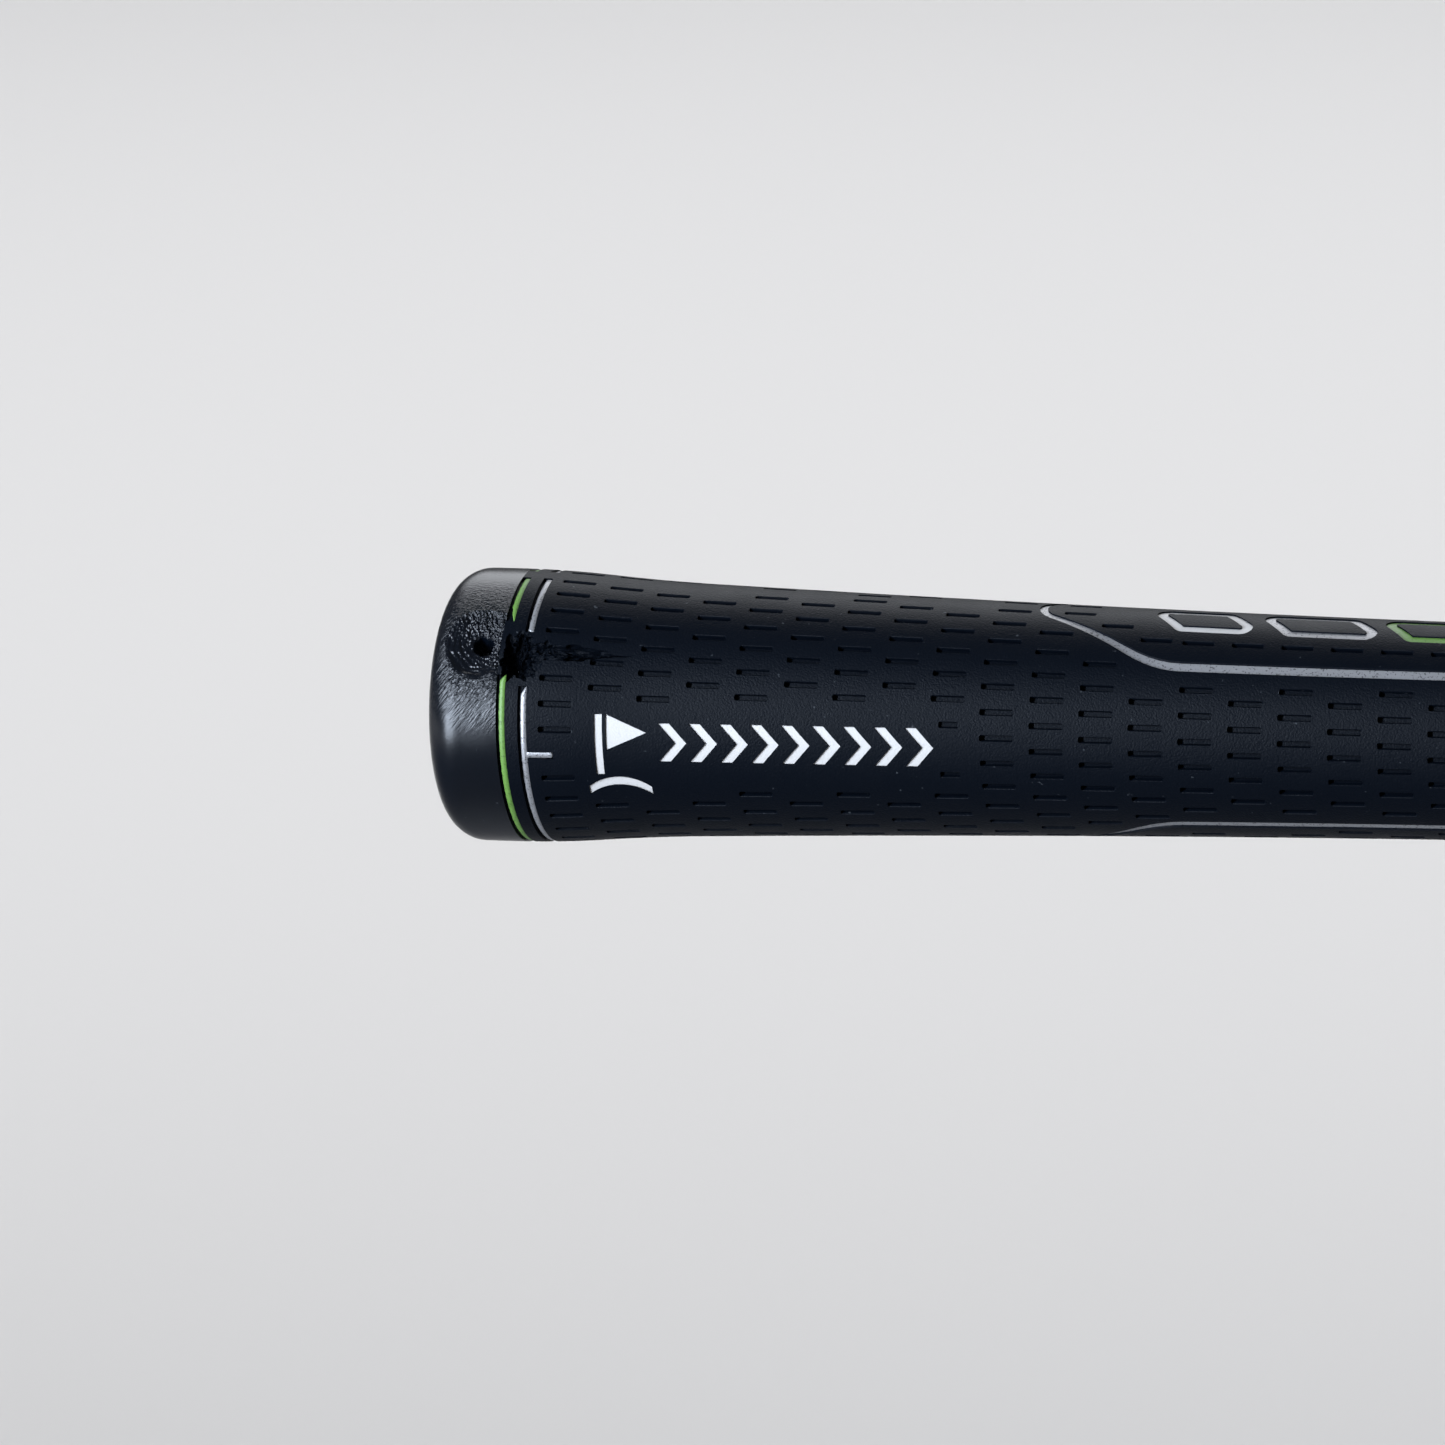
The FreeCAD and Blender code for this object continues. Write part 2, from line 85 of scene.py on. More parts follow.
def colour(name, default, description):
    """A linear colour."""
    return bpy.props.FloatVectorProperty(
        name=name, description=description, default=default, size=3, subtype="COLOR", min=0.0, max=1.0
    )


class GripForm(bpy.types.PropertyGroup):
    """The grip's outer profile."""

    butt: length("Butt Radius", 13.66, "Outer radius over the shaft's seat")
    mouth: length("Mouth Radius", 9.0, "Outer radius at the mouth")
    shoulder_arc: length("Shoulder Arc", 112.0, "Convex profile arc that starts the flare")
    shoulder_end: length("Shoulder End", 10.0, "Where that arc ends")
    flare_arc: length("Flare Arc", 190.0, "Concave profile arc that ends the flare")
    flare_end: length("Flare End", 20.0, "Where that arc ends")
    hand_arc: length("Hand Arc", 3460.0, "Concave profile arc under the upper hand")
    hand_end: length("Hand End", 103.0, "Where that arc ends")
    lip: length("Mouth Rounding", 0.7, "Rounding of the mouth's outer edge")
    dome: length("Dome Radius", 60.0, "Spherical radius of the cap's end")
    corner: length("Corner Radius", 3.4, "Rounding between the dome and the cap's wall")
    collar: length("Collar Radius", 10.5, "Outer radius of the cap's collar")
    vent: length("Vent Radius", 1.3, "Air hole in the cap")


class GripTread(bpy.types.PropertyGroup):
    """The moulded slots."""

    slot_length: length("Slot Length", 3.4, "Length of a slot along the grip")
    slot_width: length("Slot Width", 0.56, "Width of a slot under its rounded rim")
    slot_rim: length("Slot Rim", 0.065, "Width of that rim")
    slot_depth: length("Slot Depth", 0.4, "Depth of a slot in its middle")
    pit_depth: length("Pit Depth", 0.75, "Depth of the pit at a slot's butt end")
    first: length("First Column", 6.16, "Butt end of the first column of slots")
    column: length("Column Pitch", 4.92, "Spacing of the columns")
    row: length("Row Pitch", 2.57, "Spacing of the rows around the grip")
    columns: bpy.props.IntProperty(name="Columns", description="Number of columns", default=51, min=1)
    rows: bpy.props.IntProperty(name="Rows", description="Most rows on one side", default=19, min=1)
    edge_columns: bpy.props.IntProperty(
        name="Edge Columns", description="Slots along each edge of the top panel", default=10, min=1
    )
    side: angle("Side Angle", 89.5, "Angle from the top to the middle row of a side")
    twist: angle("Butt Twist", 5.4, "How much lower the middle row starts at the butt")
    twist_run: length("Twist Run", 18.0, "Length over which that twist dies away")
    seam_margin: length("Seam Margin", 0.75, "Least distance from a slot's middle to the moulding line")
    fill_margin: length("Fill Margin", 0.62, "Least distance from a slot to a painted recess")
    short_shift: length("Short Shift", 0.15, "How far the short slots behind the chevrons are moved")
    panel_start: length("Panel Start", 52.0, "Where the flanks of the top panel meet")
    panel_end: length("Panel Marks' End", 101.5, "End of the top panel's stretch without the lattice")
    panel_slope: number("Panel Slope", 0.52, "Rise of the panel's flank along the grip")
    panel_half: length("Panel Half Width", 7.3, "Half width of the panel behind its flanks")
    edge_start: length("Edge Start", 58.7, "Middle of the first slot that follows the panel's edge")
    edge_arc: length("Edge Arc", 5.5, "Arc from the top to the slots along the panel's side")
    edge_first: length("First Edge Arc", 1.3, "Arc from the top to the first of those slots")
    edge_pitch: length("Flank Pitch", 4.2, "Spacing of those slots along the flank")


class GripRings(bpy.types.PropertyGroup):
    """The painted rings."""

    width: length("Paint Width", 0.62, "Width of the paint in a ring's groove")
    gap: length("Gap", 0.27, "Bare groove on the paint's butt side")


class GripFinish(bpy.types.PropertyGroup):
    """The colours."""

    rubber: colour("Rubber", (0.0016, 0.0030, 0.0058), "Moulded rubber")
    green: colour("Green Paint", (0.13, 0.27, 0.05), "Green ring")
    silver: colour("Silver Paint", (0.36, 0.355, 0.36), "Silver ring and outlines")
    white: colour("White Paint", (0.60, 0.575, 0.55), "Emblem and chevrons")
    tape: colour("Tape", (0.55, 0.5, 0.4), "Bonding tape")
    floor: colour("Floor", (0.72, 0.72, 0.73), "Floor")


class GripView(bpy.types.PropertyGroup):
    """The camera."""

    distance: length("Distance", 1000.0, "Distance from the camera to the rings, along its view")
    lens: number("Lens", 249.1, "Focal length in millimetres on a 36 mm sensor")
    swing: angle("Swing", 14.64, "How far the mouth leans towards the camera")
    roll: angle("Roll", 1.636, "How far the grip slopes down to the right")
    lift: angle("Lift", 16.5, "How far the camera stands above the grip's side")
    place: length("Ring Place", 3.0, "Point of the axis that the view is centred by")
    left: length("Left", 17.886, "How far that point lies left of the view's middle")
    above: length("Above", 1.713, "How far it lies above the view's middle")


class GripDamage(bpy.types.PropertyGroup):
    """The scuffed dish in the cap and the tear behind it."""

    dish_place: length("Dish Place", -0.25, "Distance of the dish's middle from the seat")
    dish_turn: angle("Dish Angle", 47.2, "Angle from the top to the dish")
    dish_radius: length("Dish Radius", 3.7, "Radius of the scuffed dish")
    dish_depth: length("Dish Depth", 0.8, "Depth of the dish")
    hole_radius: length("Hole Radius", 0.84, "Radius of the hole in the dish")
    hole_depth: length("Hole Depth", 2.6, "Depth of the hole")
    bite_place: length("Bite Place", 2.4, "Middle of the tear's bite in the cap's edge")
    bite_turn: angle("Bite Angle", 54.0, "Angle from the top to that bite")
    bite_depth: length("Bite Depth", 0.8, "Depth of the bite")


# The tear's lobes: place along the grip in millimetres and angle from the top in degrees, then half length,
# half width and depth in millimetres, the share of the width at the far end, and the seed of its rough walls.
TEARS = {
    "body": (3.75, 54.6, 2.05, 2.35, 2.6, 1.0, 3),
    "crown": (4.1, 45.9, 0.95, 1.2, 2.0, 1.0, 5),
    "arm": (6.3, 49.4, 1.6, 1.1, 1.9, 0.8, 7),
    "slit": (9.9, 50.5, 4.9, 1.35, 2.8, 0.10, 9),
}

# Millimetres over which a ring's first and last ends run out beside the tear.
TORN_ENDS = {
    "green_ring_upper": (0.0, 2.0), "silver_ring_upper": (0.0, 0.25),
    "green_ring_lower": (0.6, 0.0), "silver_ring_lower": (0.9, 0.0),
}


def sizes(group):
    """A property group of the scene."""
    return getattr(bpy.context.scene, group)


def skin(x):
    """Outer radius of the grip at a place along it, and the profile's slope there."""
    form = sizes("grip_form")
    if x <= 0:
        return form.butt, 0.0
    radius, start, lean = form.butt, 0.0, 0.0
    for arc, end, bend in (
        (form.shoulder_arc, form.shoulder_end, -1),
        (form.flare_arc, form.flare_end, 1),
        (form.hand_arc, form.hand_end, 1),
    ):
        stop = min(x, end)
        leant = math.asin(math.sin(lean) + bend * (stop - start) / arc)
        radius += bend * arc * (math.cos(lean) - math.cos(leant))
        lean, start = leant, end
        if x <= end:
            return radius, math.tan(lean)
    slope = (form.mouth - radius) / (MOUTH - form.hand_end)
    return radius + slope * (x - form.hand_end), slope


def round_place(x, radius, turn):
    """The point at an angle around the grip, from the top over the front."""
    return Vector((x, -radius * math.sin(turn), radius * math.cos(turn)))


def turned(name, profile, segments):
    """A solid of revolution from a closed profile of (x, radius) points, in order along +X outside first."""
    mesh = bpy.data.meshes.new(name)
    build = bmesh.new()
    rings = []
    for n in range(segments):
        turn = 2 * math.pi * n / segments
        rings.append([build.verts.new(round_place(x, radius, turn)) for x, radius in profile])
    for n, ring in enumerate(rings):
        beside = rings[(n + 1) % segments]
        for k in range(len(profile)):
            after = (k + 1) % len(profile)
            build.faces.new((ring[k], beside[k], beside[after], ring[after]))
    bmesh.ops.recalc_face_normals(build, faces=build.faces)
    build.to_mesh(mesh)
    build.free()
    piece = bpy.data.objects.new(name, mesh)
    bpy.context.scene.collection.objects.link(piece)
    return piece


def finish_piece(piece, slot, material, *nodes):
    """Gives a piece its material and its body, and hides the nodes that it stands for. Its slot is not used.
    """
    piece.data.materials.clear()
    piece.data.materials.append(material)
    for face in piece.data.polygons:
        face.material_index = 0
        face.use_smooth = True
    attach(piece, "root")
    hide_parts(*nodes)
    return piece


class Value:
    """A socket that sums can be written with; each operator adds its Math node."""

    def __init__(self, tree, socket):
        self.tree, self.socket = tree, socket

    def maths(self, operation, *others, first=None):
        node = self.tree.nodes.new("ShaderNodeMath")
        node.operation = operation
        terms = (self, *others) if first is None else (first, self)
        for socket, term in zip(node.inputs, terms):
            if isinstance(term, Value):
                self.tree.links.new(term.socket, socket)
            else:
                socket.default_value = term
        return Value(self.tree, node.outputs[0])

    def __add__(self, other):
        return self.maths("ADD", other)

    def __sub__(self, other):
        return self.maths("SUBTRACT", other)

    def __mul__(self, other):
        return self.maths("MULTIPLY", other)

    def __truediv__(self, other):
        return self.maths("DIVIDE", other)

    def __rsub__(self, other):
        return self.maths("SUBTRACT", first=other)

    def __rtruediv__(self, other):
        return self.maths("DIVIDE", first=other)

    def __gt__(self, other):
        return self.maths("GREATER_THAN", other)

    def __lt__(self, other):
        return self.maths("LESS_THAN", other)

    def above(self, least, steepness):
        """How far the value lies above a level, times a steepness, kept between 0 and 1."""
        return ((self - least) * steepness).maths("MINIMUM", 1.0).maths("MAXIMUM", 0.0)

    __radd__ = __add__
    __rmul__ = __mul__


class Nodes:
    """Adds nodes to a tree."""

    def __init__(self, tree):
        self.tree = tree

    def add(self, kind, settings=None, sockets=None):
        """A node with its settings and then its sockets."""
        node = self.tree.nodes.new(kind)
        for name, value in (settings or {}).items():
            setattr(node, name, value)
        for name, value in (sockets or {}).items():
            self.join(value, node.inputs[name])
        return node

    def join(self, value, socket):
        """Links a value to a socket, or sets it there."""
        if isinstance(value, Value):
            value = value.socket
        if isinstance(value, bpy.types.NodeSocket):
            self.tree.links.new(value, socket)
        else:
            socket.default_value = value

    def value(self, kind, settings=None, sockets=None, output=0):
        """One output of a new node, ready for sums."""
        return Value(self.tree, self.add(kind, settings, sockets).outputs[output])

    def speckle(self, place, scale, detail, distortion=0.0):
        """Noise from 0 to 1, of a scale per metre."""
        return self.value("ShaderNodeTexNoise", None, {
            "Vector": place, "Scale": scale, "Detail": detail, "Distortion": distortion,
        })

    def rise(self, value, low, high):
        """0 at low and 1 at high, with a smooth step between."""
        return self.value("ShaderNodeMapRange", {"interpolation_type": "SMOOTHSTEP"},
                          {"Value": value, "From Min": low, "From Max": high})

    def tone(self, shader, share, shade, other):
        """Base Color mixed from two colours by the share of the other."""
        mix = self.add("ShaderNodeMix", {"data_type": "RGBA"}, {"Factor": share})
        self.join((*shade, 1.0), mix.inputs["A"])
        self.join((*other, 1.0), mix.inputs["B"])
        self.join(mix.outputs["Result"], shader.inputs["Base Color"])

    def bump(self, shader, strength, distance, height):
        """Relief on the shader's normal."""
        relief = self.add("ShaderNodeBump", None,
                          {"Strength": strength, "Distance": distance, "Height": height})
        self.join(relief.outputs[0], shader.inputs["Normal"])


FRONT_FILLS = ["flag_pole", "flag_pennant", "flag_mound"] + [f"chevron_{n}" for n in range(1, 10)]
TOP_FILLS = ["top_panel_line", "panel_mark_white", "panel_mark_silver", "panel_mark_green"]
BOTTOM_FILLS = ["bottom_panel_line"]
RING_FILLS = [f"{shade}_ring_{end}" for shade in ("green", "silver") for end in ("upper", "lower", "back")]
RECESS = 0.35 * MM  # depth of the painted recesses
PAINT_TOP = 0.15 * MM  # how far the paint lies under the skin
PAINT_WALL = 0.24 * MM  # thickness of the rings' paint


def pocket_tool(name):
    """The painted fills grown outwards through the skin, as one object that cuts their recesses."""
    mesh = bpy.data.meshes.new(name)
    build = bmesh.new()
    proud = 3 * RECESS  # how far the tool's fills are grown
    outwards = (
        (FRONT_FILLS, lambda p: Vector((0, -1, 0))),
        (TOP_FILLS, lambda p: Vector((0, 0, 1))),
        (BOTTOM_FILLS, lambda p: Vector((0, 0, -1))),
        (RING_FILLS, lambda p: Vector((0, p.y, p.z)).normalized()),
    )
    for fills, way in outwards:
        for fill in fills:
            part = bmesh.new()
            part.from_mesh(frame["nodes"][fill].data)
            bmesh.ops.remove_doubles(part, verts=part.verts, dist=1e-7)
            for vert in part.verts:
                if math.hypot(vert.co.y, vert.co.z) > skin(vert.co.x)[0] - (RECESS + PAINT_TOP) / 2:
                    vert.co += way(vert.co) * proud
            copy = bpy.data.meshes.new(fill)
            part.to_mesh(copy)
            part.free()
            build.from_mesh(copy)
            bpy.data.meshes.remove(copy)
    build.to_mesh(mesh)
    build.free()
    return bpy.data.objects.new(name, mesh)


def slot_tool(name):
    """One slot's cutter: a lofted bar with a rounded rim and a pit at its butt end, its skin at z = 0."""
    tread = sizes("grip_tread")
    half, wide, rim = tread.slot_length / 2, tread.slot_width / 2, tread.slot_rim
    pit, step, nose = 0.42 * MM, 0.1 * MM, 0.14 * MM  # lengths of the pit, its far wall and a rounded end
    far_depth = 1.25 * tread.slot_depth
    stations = (  # place along the slot, share of the width, depth
        (-half, 0.5, tread.pit_depth),
        (-half + nose, 1.0, tread.pit_depth),
        (-half + pit, 1.0, tread.pit_depth),
        (-half + pit + step, 1.0, tread.slot_depth),
        (half - nose, 1.0, far_depth),
        (half, 0.5, far_depth),
    )
    proud = 0.5 * MM  # how far the cutter stands out of the skin
    mesh = bpy.data.meshes.new(name)
    build = bmesh.new()
    loops = []
    for x, share, depth in stations:
        side = (
            (wide * share + 1.4 * rim, proud), (wide * share + 1.4 * rim, 0.4 * rim),
            (wide * share, -rim), (wide * share * 0.8, -depth),
        )
        corners = [(x, -y, z) for y, z in side] + [(x, y, z) for y, z in reversed(side)]
        loops.append([build.verts.new(corner) for corner in corners])
    for here, beside in zip(loops, loops[1:]):
        for k in range(len(here)):
            after = (k + 1) % len(here)
            build.faces.new((here[k], here[after], beside[after], beside[k]))
    build.faces.new(loops[0])
    build.faces.new(reversed(loops[-1]))
    bmesh.ops.recalc_face_normals(build, faces=build.faces)
    build.to_mesh(mesh)
    build.free()
    return bpy.data.objects.new(name, mesh)


SHORT_COLUMN = 8  # the column of short slots, right behind the chevrons
SHORT_CUT = 0.42  # how much of their length they lack
SHORT_ROWS = 1.4  # they lie within this many rows of the middle
EMBLEM_ROWS = 1.9  # and the slots beside the emblem and the chevrons are left out within these
EDGE_SCALE = 0.94  # length of the slots along the panel's edge, against the others
FLANK_STEPS = 3  # how many of them follow the panel's flank before its side


class Tread(Nodes):
    """The tree that sets slots on the sleeve by row and column and cuts them."""

    def __init__(self):
        super().__init__(bpy.data.node_groups.new("Slotted Tread", "GeometryNodeTree"))
        face = self.tree.interface
        face.new_socket("Sleeve", in_out="INPUT", socket_type="NodeSocketGeometry")
        face.new_socket("Sleeve", in_out="OUTPUT", socket_type="NodeSocketGeometry")
        for name, kind in (
            ("Slot", "Object"), ("Pockets", "Object"), *((f"Tear {n}", "Object") for n in TEARS),
            ("Material", "Material"), ("Columns", "Int"), ("Rows", "Int"), ("First Column", "Float"),
            ("Column Pitch", "Float"), ("Row Pitch", "Float"), ("Slot Length", "Float"),
            ("Side Angle", "Float"), ("Twist", "Float"), ("Twist Run", "Float"), ("Seam Margin", "Float"),
            ("Fill Margin", "Float"), ("Short Shift", "Float"), ("Panel Start", "Float"),
            ("Panel End", "Float"), ("Panel Slope", "Float"), ("Panel Half", "Float"),
            ("Edge Start", "Float"), ("Edge Arc", "Float"), ("Edge First", "Float"),
            ("Edge Pitch", "Float"), ("Edge Columns", "Int"),
        ):
            face.new_socket(name, in_out="INPUT", socket_type=f"NodeSocket{kind}")
        self.group = self.add("NodeGroupInput")

    def given(self, name):
        """A value of the group's input."""
        return Value(self.tree, self.group.outputs[name])

    def object_mesh(self, name):
        """The geometry of an input object."""
        return self.add("GeometryNodeObjectInfo", {"transform_space": "ORIGINAL"},
                        {"Object": self.given(name)}).outputs["Geometry"]

    def vector(self, x, y, z):
        """A vector of three values."""
        return self.value("ShaderNodeCombineXYZ", None, {"X": x, "Y": y, "Z": z})

    def skin_radius(self, x):
        """The sleeve's radius at a place along it, felt for from its side."""
        clear = 30 * MM
        start = self.vector(x, -clear, 0.0)
        ray = self.add("GeometryNodeRaycast", None, {
            "Target Geometry": self.given("Sleeve"), "Source Position": start,
            "Ray Direction": (0.0, 1.0, 0.0), "Ray Length": 1.0,
        })
        return clear - Value(self.tree, ray.outputs["Hit Distance"])

    def clear_of_fills(self, place):
        """1 where a place is farther from the painted recesses than the margin."""
        near = self.add("GeometryNodeProximity", {"target_element": "FACES"}, {
            "Geometry": self.object_mesh("Pockets"), "Sample Position": place,
        })
        return Value(self.tree, near.outputs["Distance"]) > self.given("Fill Margin")

    def slots(self, count, middle, turn_at, keep_at, scale):
        """Instances of the slot at a number of places; both functions take the radius there."""
        half = self.given("Slot Length") * 0.5
        before, after = self.skin_radius(middle - half), self.skin_radius(middle + half)
        radius = (before + after) * 0.5
        slope = (after - before) / (half * 2.0)
        turn = turn_at(radius)
        across, up = turn.maths("SINE") * -1.0, turn.maths("COSINE")
        place = self.vector(middle, radius * across, radius * up)
        points = self.add("GeometryNodePoints", None, {"Count": count, "Position": place})
        out = self.vector(slope * -1.0, across, up)
        along = self.vector(1.0, slope * across, slope * up)
        facing = self.add("FunctionNodeAxesToRotation", {"primary_axis": "Z", "secondary_axis": "X"},
                          {"Primary Axis": out, "Secondary Axis": along})
        keep = keep_at(radius, turn)
        for step, ring in ((half * -1.0, before), (half * 0.0, radius), (half, after)):
            keep = keep * self.clear_of_fills(self.vector(middle + step, ring * across, ring * up))
        return self.add("GeometryNodeInstanceOnPoints", None, {
            "Points": points.outputs[0], "Selection": keep, "Instance": self.object_mesh("Slot"),
            "Rotation": facing.outputs[0], "Scale": scale,
        }).outputs[0]

    def build(self):
        """The whole tree."""
        index = self.value("GeometryNodeInputIndex")
        columns, rows = self.given("Columns"), self.given("Rows")
        per_side = columns * rows
        side = (index / per_side).maths("FLOOR")
        rest = index - side * per_side
        column = (rest / rows).maths("FLOOR")
        row = rest - column * rows
        hand = 1.0 - side * 2.0
        start = self.given("First Column") + column * self.given("Column Pitch")
        step = row - (rows * 0.5).maths("FLOOR") + column.maths("MODULO", 2.0) * 0.5
        before_short = column < SHORT_COLUMN - 0.5
        short = (column > SHORT_COLUMN - 0.5) * (column < SHORT_COLUMN + 0.5)
        short = short * (step.maths("ABSOLUTE") < SHORT_ROWS) * (side < 0.5)
        middle = start + self.given("Slot Length") * 0.5 + short * self.given("Short Shift")
        fade = ((self.given("First Column") - start) / self.given("Twist Run")).maths("EXPONENT")
        side_turn = self.given("Side Angle") + self.given("Twist") * fade

        def lattice_turn(radius):
            return (side_turn + step * self.given("Row Pitch") / radius) * hand

        def lattice_keep(radius, turn):
            around = turn * hand
            arc, margin = radius * around, self.given("Seam Margin")
            seams = (arc > margin) * (radius * math.pi - arc > margin)
            marks = (column > 0.5) * before_short * (step.maths("ABSOLUTE") < EMBLEM_ROWS) * (side < 0.5)
            flank = (middle - self.given("Panel Start")) * self.given("Panel Slope")
            inside = flank.maths("MINIMUM", self.given("Panel Half"))
            panel = (around < math.pi / 2) * (middle < self.given("Panel End"))
            panel = panel * (radius * around.maths("SINE") < inside)
            return seams * (1.0 - marks) * (1.0 - panel)

        shrink = self.vector(1.0 - short * SHORT_CUT, 1.0, 1.0)
        lattice = self.slots(per_side * 2.0, middle, lattice_turn, lattice_keep, shrink)
        edges = self.given("Edge Columns")
        edge_side = (index / edges).maths("FLOOR")
        edge_step = index - edge_side * edges
        behind = (edge_step - FLANK_STEPS).maths("MAXIMUM", 0.0)
        pitch, wider = self.given("Edge Pitch"), self.given("Column Pitch") - self.given("Edge Pitch")
        edge_middle = self.given("Edge Start") + edge_step * pitch + behind * wider
        climb = self.given("Edge First") + edge_step * pitch * self.given("Panel Slope")
        easing = 1.2 * MM
        edge_arc = climb.maths("SMOOTH_MIN", self.given("Edge Arc"), easing)
        edge = self.slots(
            edges * 2.0, edge_middle,
            lambda radius: edge_arc / radius * (1.0 - edge_side * 2.0),
            lambda radius, turn: edge_middle > 0.0, (EDGE_SCALE, 1.0, 1.0),
        )
        cutters = self.add("GeometryNodeJoinGeometry")
        for instances in (edge, lattice):
            self.tree.links.new(instances, cutters.inputs[0])
        solid = self.add("GeometryNodeRealizeInstances", None, {"Geometry": cutters.outputs[0]})
        sleeve = self.given("Sleeve")
        tears = [self.object_mesh(f"Tear {n}") for n in TEARS]
        for tool in (self.object_mesh("Pockets"), solid.outputs[0], *tears):
            cut = self.add("GeometryNodeMeshBoolean", {"operation": "DIFFERENCE", "solver": "MANIFOLD"})
            self.join(sleeve, cut.inputs["Mesh 1"])
            self.join(tool, cut.inputs["Mesh 2"])
            sleeve = cut.outputs[0]
        whole = self.add("GeometryNodeRealizeInstances", None, {"Geometry": sleeve})
        painted = self.add("GeometryNodeSetMaterial", None,
                           {"Geometry": whole.outputs[0], "Material": self.given("Material")})
        self.join(painted.outputs[0], self.add("NodeGroupOutput").inputs[0])
        return self.tree


def apply_tree(piece, tree, **values):
    """Runs a node tree on a piece with its inputs set by name, and keeps the result as a plain mesh."""
    modifier = piece.modifiers.new(tree.name, "NODES")
    modifier.node_group = tree
    for item in tree.interface.items_tree:
        key = item.name.lower().replace(" ", "_")
        if item.in_out == "INPUT" and key in values:
            modifier[item.identifier] = values[key]
    bpy.context.view_layer.update()
    evaluated = piece.evaluated_get(bpy.context.evaluated_depsgraph_get())
    mesh = bpy.data.meshes.new_from_object(evaluated)
    piece.modifiers.remove(modifier)
    old, piece.data = piece.data, mesh
    mesh.name = piece.name
    bpy.data.meshes.remove(old)


def sleeve_profile():
    """The sleeve's closed section: outside, lip, bore and the socket of the cap's collar."""
    form = sizes("grip_form")
    places = [JOINT + n * 0.9 * MM for n in range(21)]  # close together over the flare
    places += [22 * MM + n * 5.5 * MM for n in range(15)]  # wider under the hand
    places += [form.hand_end, 160 * MM, 210 * MM]  # and the straight cone
    profile = [(x, skin(x)[0]) for x in places]
    rim, slope = skin(MOUTH - form.lip)
    for n in range(7):
        bend = n * math.pi / 12
        profile.append((MOUTH - form.lip * (1 - math.sin(bend)), rim - form.lip * (1 - math.cos(bend))))
    profile += [(MOUTH, BORE), (COLLAR_END, BORE), (COLLAR_END, form.collar), (JOINT, form.collar)]
    return profile


def mark_torn(mesh):
    """Marks the tear's walls, so that they can be rough and dull."""
    torn = mesh.attributes.new("torn", "FLOAT", "POINT")
    tear_end, least_depth, margin = 16 * MM, 0.12 * MM, 1.0
    per_millimetre = 4.3  # degrees around the grip
    for vert in mesh.vertices:
        p = vert.co
        if p.x > tear_end or p.y > 0 or p.z < 0:
            continue
        depth = skin(p.x)[0] - math.hypot(p.y, p.z)
        turn = math.atan2(-p.y, p.z) / DEGREE
        near = min(
            math.hypot((p.x / MM - x) / (long + margin), (turn - middle) / per_millimetre / (wide + margin))
            for x, middle, long, wide, *_ in TEARS.values()
        )
        torn.data[vert.index].value = 1.0 if depth > least_depth and near < 1 else 0.0


def shade_by_form(mesh):
    """Gives the faces that lie on the skin or in the bore the normals of the true round form."""
    normals = []
    reach = 0.02 * MM
    known = {}
    points = [vert.co for vert in mesh.vertices]
    radii = [math.hypot(p.y, p.z) for p in points]
    on_skin, slopes = [], []
    for p, radius in zip(points, radii):
        key = round(p.x, 6)
        if key not in known:
            known[key] = skin(p.x)
        true, slope = known[key]
        on_skin.append(abs(radius - true) < reach)
        slopes.append(slope)
    for face in mesh.polygons:
        outer = all(on_skin[v] for v in face.vertices) and abs(face.normal.x) < 0.5
        inner = all(abs(radii[v] - BORE) < reach for v in face.vertices)
        for v in face.vertices:
            p = points[v]
            if outer:
                normals.append(Vector((-slopes[v], p.y / radii[v], p.z / radii[v])).normalized())
            elif inner:
                normals.append(Vector((0, -p.y / radii[v], -p.z / radii[v])))
            else:
                normals.append(face.normal.copy())
    mesh.normals_split_custom_set(normals)


def seat_on_skin(turn, x):
    """The matrix whose origin lies on the skin, its x axis along the grip and its z axis outwards."""
    radius, slope = skin(x)
    radial = round_place(0.0, 1.0, turn)
    along = (Vector((1, 0, 0)) + radial * slope).normalized()
    around = radial.cross(along).normalized()
    axes = Matrix((along, around, along.cross(around))).transposed().to_4x4()
    return Matrix.Translation(Vector((x, 0, 0)) + radial * radius) @ axes


def rough(point, grain, seed, octaves=3):
    """Fractal noise about zero at a point, of a given grain size."""
    return noise.fractal(point / grain + Vector((seed, 2 * seed, 3 * seed)), 1.0, 2.0, octaves)


def tear_tool(lobe):
    """One lobe of the tear as a rough solid that is cut from the rubber."""
    place, turn, half_length, half_width, depth, far, seed = TEARS[lobe]
    build = bmesh.new()
    bmesh.ops.create_icosphere(build, subdivisions=5, radius=1.0)
    seat = seat_on_skin(turn * DEGREE, place * MM)
    for vert in build.verts:
        p = vert.co.copy()
        ragged = MM * (1 + 0.50 * rough(p, 0.8, seed, 2) + 0.22 * rough(p, 0.24, seed + 20, 3))
        wide = 1 + (far - 1) * (p.x + 1) / 2
        vert.co = seat @ (Vector((p.x * half_length, p.y * half_width * wide, p.z * depth)) * ragged)
    mesh = bpy.data.meshes.new(f"tear_{lobe}")
    build.to_mesh(mesh)
    build.free()
    return bpy.data.objects.new(mesh.name, mesh)


